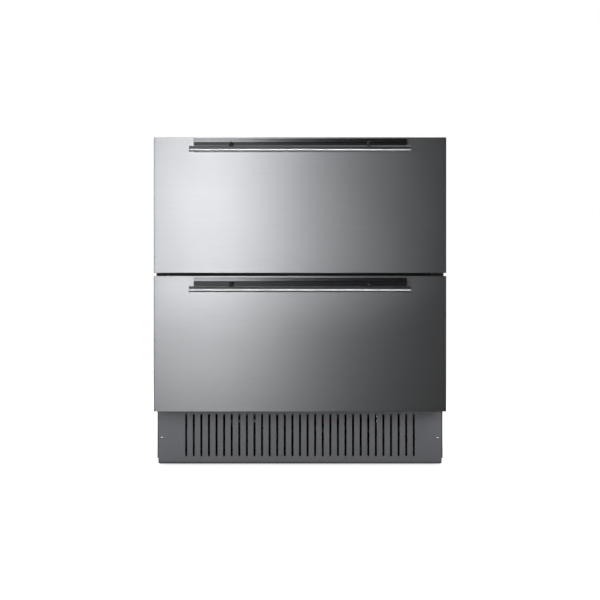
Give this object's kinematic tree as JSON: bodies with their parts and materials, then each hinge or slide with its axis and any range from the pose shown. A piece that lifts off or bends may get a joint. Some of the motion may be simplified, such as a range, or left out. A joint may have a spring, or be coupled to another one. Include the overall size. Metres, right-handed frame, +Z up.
{
  "type": "undercounter drawer refrigerator",
  "caption": "Undercounter refrigerator with two stacked pull-out drawers, steel fronts, round bar handles, telescopic slides and a slotted kick grille.",
  "frame": {"origin": "on the floor, under the middle of the whole outline, handles included", "axes": "+Z up, the drawers open towards -Y, +X to the right seen from the front"},
  "size_m": [0.756, 0.659, 0.855],
  "materials": {
    "front_steel": "satin",
    "bar_steel": "polished",
    "handle_black": "satin",
    "cabinet_steel": "satin",
    "zinc_steel": "satin",
    "grille_steel": "satin",
    "liner_white": "satin",
    "bin_clear": "gloss",
    "foam": "matte",
    "seal_rubber": "matte",
    "black_plastic": "matte",
    "compressor_black": "satin",
    "rubber_black": "matte",
    "foot_steel": "satin",
    "copper": "satin",
    "coil_aluminium": "satin",
    "lens": "satin",
    "button_grey": "satin",
    "screw_steel": "polished",
    "fan_white": "satin"
  },
  "bodies": {
    "cabinet": {"side_panel_left": "cabinet_steel", "side_panel_right": "cabinet_steel", "top_panel": "cabinet_steel", "back_panel": "zinc_steel", "rear_cover": "zinc_steel", "base_pan": "zinc_steel", "deck_panel": "zinc_steel", "insulation": "foam", "inner_liner": "liner_white", "mullion_cover": "cabinet_steel", "counter_brackets": "zinc_steel", "kick_grille": "grille_steel", "panel_screws": "screw_steel", "cord_gland": "rubber_black", "compressor": "compressor_black", "compressor_mounts": "rubber_black", "condenser": "coil_aluminium", "fan_shroud": "black_plastic", "fan_motors": "zinc_steel", "refrigerant_lines": "copper", "drip_tray": "black_plastic", "control_box": "zinc_steel", "evaporator": "coil_aluminium", "evaporator_cover": "liner_white", "control_panel": "black_plastic", "light_bar": "liner_white", "light_lens": "lens", "upper_slide_outer": "zinc_steel", "lower_slide_outer": "zinc_steel"},
    "condenser_fan": {"condenser_fan": "fan_white"},
    "evaporator_fan": {"evaporator_fan": "fan_white"},
    "power_button": {"power_button": "button_grey"},
    "warmer_button": {"warmer_button": "button_grey"},
    "colder_button": {"colder_button": "button_grey"},
    "front_left_foot": {"front_left_foot": "foot_steel"},
    "front_right_foot": {"front_right_foot": "foot_steel"},
    "rear_left_foot": {"rear_left_foot": "foot_steel"},
    "rear_right_foot": {"rear_right_foot": "foot_steel"},
    "upper_drawer": {"upper_front_skin": "front_steel", "upper_front_foam": "foam", "upper_inner_panel": "liner_white", "upper_gasket": "seal_rubber", "upper_handle_rail": "handle_black", "upper_handle_bar": "bar_steel", "upper_handle_posts": "handle_black", "upper_carriers": "zinc_steel", "upper_slide_inner": "zinc_steel", "upper_bin": "bin_clear"},
    "upper_slide_middle": {"upper_slide_middle": "zinc_steel"},
    "lower_drawer": {"lower_front_skin": "front_steel", "lower_front_foam": "foam", "lower_inner_panel": "liner_white", "lower_gasket": "seal_rubber", "lower_handle_rail": "handle_black", "lower_handle_bar": "bar_steel", "lower_handle_posts": "handle_black", "lower_carriers": "zinc_steel", "lower_slide_inner": "zinc_steel", "lower_bin": "bin_clear"},
    "lower_slide_middle": {"lower_slide_middle": "zinc_steel"}
  },
  "joints": [
    {"name": "upper_drawer_slide", "type": "slide", "parent": "cabinet", "child": "upper_drawer", "axis": [0, -1, 0], "range_m": [0, 0.4]},
    {"name": "upper_middle_slide", "type": "slide", "parent": "cabinet", "child": "upper_slide_middle", "axis": [0, -1, 0], "range_m": [0, 0.2]},
    {"name": "lower_drawer_slide", "type": "slide", "parent": "cabinet", "child": "lower_drawer", "axis": [0, -1, 0], "range_m": [0, 0.4]},
    {"name": "lower_middle_slide", "type": "slide", "parent": "cabinet", "child": "lower_slide_middle", "axis": [0, -1, 0], "range_m": [0, 0.2]},
    {"name": "condenser_fan_spin", "type": "hinge", "parent": "cabinet", "child": "condenser_fan", "pos_m": [-0.14, -0.1065, 0.084], "axis": [0, 1, 0], "continuous": true},
    {"name": "evaporator_fan_spin", "type": "hinge", "parent": "cabinet", "child": "evaporator_fan", "pos_m": [0, 0.2335, 0.72], "axis": [0, 1, 0], "continuous": true},
    {"name": "power_press", "type": "slide", "parent": "cabinet", "child": "power_button", "axis": [0, 1, 0], "range_m": [0, 0.0008], "stiffness_N_per_m": 300},
    {"name": "warmer_press", "type": "slide", "parent": "cabinet", "child": "warmer_button", "axis": [0, 1, 0], "range_m": [0, 0.0008], "stiffness_N_per_m": 300},
    {"name": "colder_press", "type": "slide", "parent": "cabinet", "child": "colder_button", "axis": [0, 1, 0], "range_m": [0, 0.0008], "stiffness_N_per_m": 300},
    {"name": "front_left_foot_screw", "type": "slide", "parent": "cabinet", "child": "front_left_foot", "axis": [0, 0, -1], "range_m": [0, 0.02]},
    {"name": "front_right_foot_screw", "type": "slide", "parent": "cabinet", "child": "front_right_foot", "axis": [0, 0, -1], "range_m": [0, 0.02]},
    {"name": "rear_left_foot_screw", "type": "slide", "parent": "cabinet", "child": "rear_left_foot", "axis": [0, 0, -1], "range_m": [0, 0.02]},
    {"name": "rear_right_foot_screw", "type": "slide", "parent": "cabinet", "child": "rear_right_foot", "axis": [0, 0, -1], "range_m": [0, 0.02]}
  ],
  "couplings": [
    {"joint": "upper_middle_slide", "follows": "upper_drawer_slide", "ratio": 0.5},
    {"joint": "lower_middle_slide", "follows": "lower_drawer_slide", "ratio": 0.5}
  ]
}
